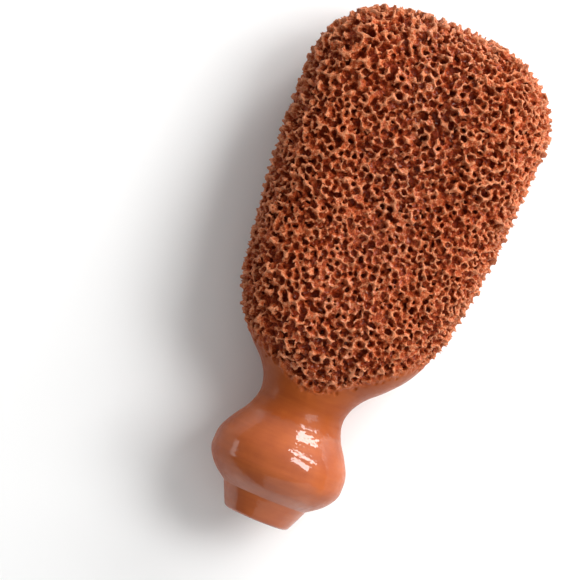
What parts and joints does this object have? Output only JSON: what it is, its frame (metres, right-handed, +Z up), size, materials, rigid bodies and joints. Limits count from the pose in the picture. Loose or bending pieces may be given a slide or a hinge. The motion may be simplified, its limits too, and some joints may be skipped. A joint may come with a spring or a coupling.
{
  "type": "pumice stone",
  "caption": "Hand-held foot-scrubbing stone of fired clay: a porous paddle-shaped head on a smooth neck, with a round knob to hold.",
  "frame": {"origin": "under the middle of the stone, on the surface that it lies on", "axes": "the stone lies on its back: +Z up out of the scrubbing face, +Y along it from the knob to the head, +X across it to the right"},
  "size_m": [0.0676, 0.143, 0.0374],
  "materials": {
    "fired_clay": "wet orange-brown fired clay: open rough pores on the head, smooth and glossy on the neck and knob"
  },
  "bodies": {
    "root": {"pumice_stone": "fired_clay"}
  },
  "joints": []
}
